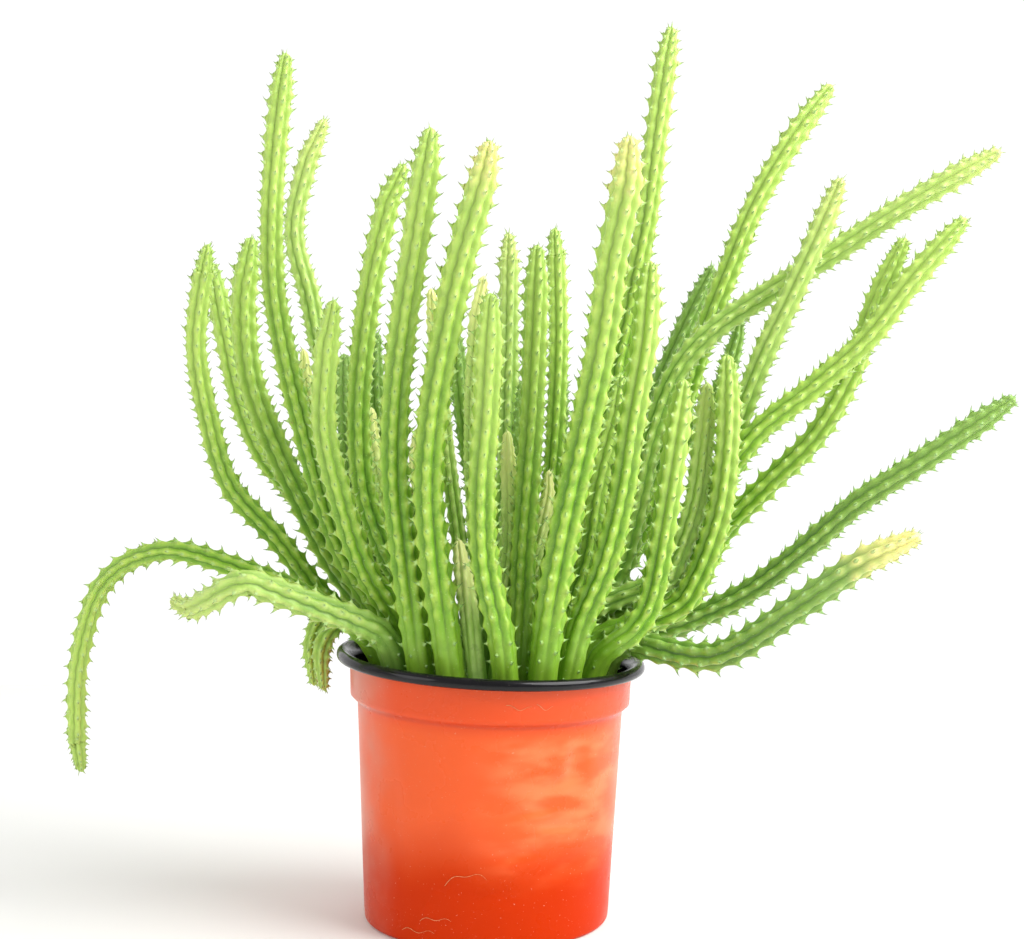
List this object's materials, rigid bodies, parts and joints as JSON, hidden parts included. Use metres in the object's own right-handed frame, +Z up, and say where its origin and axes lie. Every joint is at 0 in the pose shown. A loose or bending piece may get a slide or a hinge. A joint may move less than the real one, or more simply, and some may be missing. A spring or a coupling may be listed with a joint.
{
  "type": "potted succulent",
  "caption": "Clumping succulent with long toothed ribbed stems, upright, arching and drooping, in a two-layer nursery pot with a rolled rim.",
  "frame": {"origin": "centre of the pot's underside, on the surface it stands on", "axes": "+Z up, -Y towards the side the clump is seen from, +X to that side's right"},
  "size_m": [0.4613, 0.1972, 0.4383],
  "materials": {
    "pot_orange": "satin thermoformed plastic, orange-red outside",
    "pot_black": "glossy black lining and rolled lip",
    "soil": "coarse peaty potting mix with grit",
    "stem_bright_green": "waxy mottled green skin",
    "stem_deep_green": "waxy deeper green skin, shaded stems",
    "stem_pale_green": "waxy pale yellow-green skin",
    "young_shoot": "soft pale yellow young skin"
  },
  "bodies": {
    "root": {"pot_shell": "pot_orange", "pot_lining": "pot_black", "soil": "soil", "stem_curled_left": "stem_pale_green", "stem_front_a": "stem_bright_green", "stem_front_b": "stem_bright_green", "stem_front_c": "stem_bright_green", "stem_front_d": "stem_bright_green", "stem_front_e": "stem_bright_green", "stem_front_f": "stem_bright_green", "stem_front_g": "stem_bright_green", "stem_sprawl_right": "stem_deep_green", "stem_arch_left": "stem_bright_green", "stem_left_a": "stem_bright_green", "stem_left_b": "stem_bright_green", "stem_left_c": "stem_bright_green", "stem_tall_left": "stem_bright_green", "stem_left_d": "stem_pale_green", "stem_left_e": "stem_bright_green", "stem_left_f": "stem_deep_green", "stem_left_g": "stem_bright_green", "stem_left_h": "stem_deep_green", "stem_hang_a": "stem_bright_green", "stem_hang_b": "stem_bright_green", "stem_mid_a": "stem_bright_green", "stem_mid_b": "stem_bright_green", "stem_mid_c": "stem_pale_green", "stem_mid_d": "stem_deep_green", "stem_tallest": "stem_bright_green", "stem_mid_e": "stem_bright_green", "stem_mid_f": "stem_pale_green", "stem_right_low": "stem_deep_green", "stem_right_a": "stem_pale_green", "stem_right_b": "stem_bright_green", "stem_right_c": "stem_bright_green", "stem_right_d": "stem_pale_green", "stem_right_e": "stem_bright_green", "stem_right_f": "stem_deep_green", "stem_right_g": "stem_deep_green", "stem_back_a": "stem_deep_green", "stem_back_b": "stem_deep_green", "shoot_rim": "young_shoot", "shoot_a": "young_shoot", "shoot_b": "young_shoot", "shoot_c": "young_shoot", "shoot_d": "young_shoot", "shoot_e": "young_shoot", "shoot_g": "young_shoot", "shoot_h": "young_shoot"}
  },
  "joints": []
}
